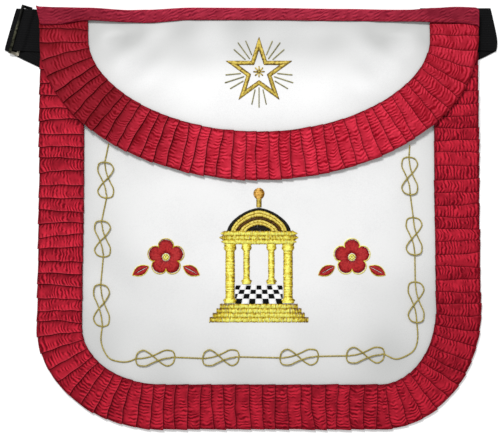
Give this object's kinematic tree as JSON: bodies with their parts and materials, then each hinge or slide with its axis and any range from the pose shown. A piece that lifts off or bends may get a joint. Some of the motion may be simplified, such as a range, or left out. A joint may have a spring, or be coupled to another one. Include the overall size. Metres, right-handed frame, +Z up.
{
  "type": "pleated lodge apron with folded belt",
  "caption": "White apron with a rounded flap, red knife-pleated ribbon borders, gold embroidery and a black webbing belt folded behind it, lying flat.",
  "frame": {"origin": "under the middle of the whole apron with its folded belt, on the surface that it lies on", "axes": "+X across the apron to the right as seen from the front, +Y towards the waist, +Z up out of its front face"},
  "size_m": [0.4464, 0.3852, 0.0128],
  "materials": {
    "white_leather": "soft white grained apron leather, matte",
    "red_ribbon": "ribbed moire ribbon with a soft sheen",
    "black_webbing": "woven elastic webbing, matte",
    "slide_metal": "bright plated steel",
    "gold_thread": "gold metallic embroidery thread",
    "black_thread": "black satin stitch",
    "brown_thread": "dark brown satin stitch",
    "red_thread": "red satin stitch edged with gold thread"
  },
  "bodies": {
    "root": {"body_panel": "white_leather", "body_border": "red_ribbon", "flap_panel": "white_leather", "flap_border": "red_ribbon", "waistband": "red_ribbon", "belt_left": "black_webbing", "belt_right": "black_webbing", "belt_slide": "slide_metal", "belt_clasp": "slide_metal", "star_embroidery": "gold_thread", "temple_finial": "gold_thread", "temple_arch_black": "black_thread", "temple_arch_gold": "gold_thread", "temple_arch_brown": "brown_thread", "temple_arch_inner": "gold_thread", "temple_arch_shade": "black_thread", "temple_entablature": "gold_thread", "temple_column_outer_left": "gold_thread", "temple_column_inner_left": "gold_thread", "temple_column_inner_right": "gold_thread", "temple_column_outer_right": "gold_thread", "temple_floor": "black_thread", "temple_steps": "gold_thread", "rosette_left": "red_thread", "leaf_left_outer": "red_thread", "leaf_left_inner": "red_thread", "rosette_right": "red_thread", "leaf_right_outer": "red_thread", "leaf_right_inner": "red_thread"}
  },
  "joints": []
}
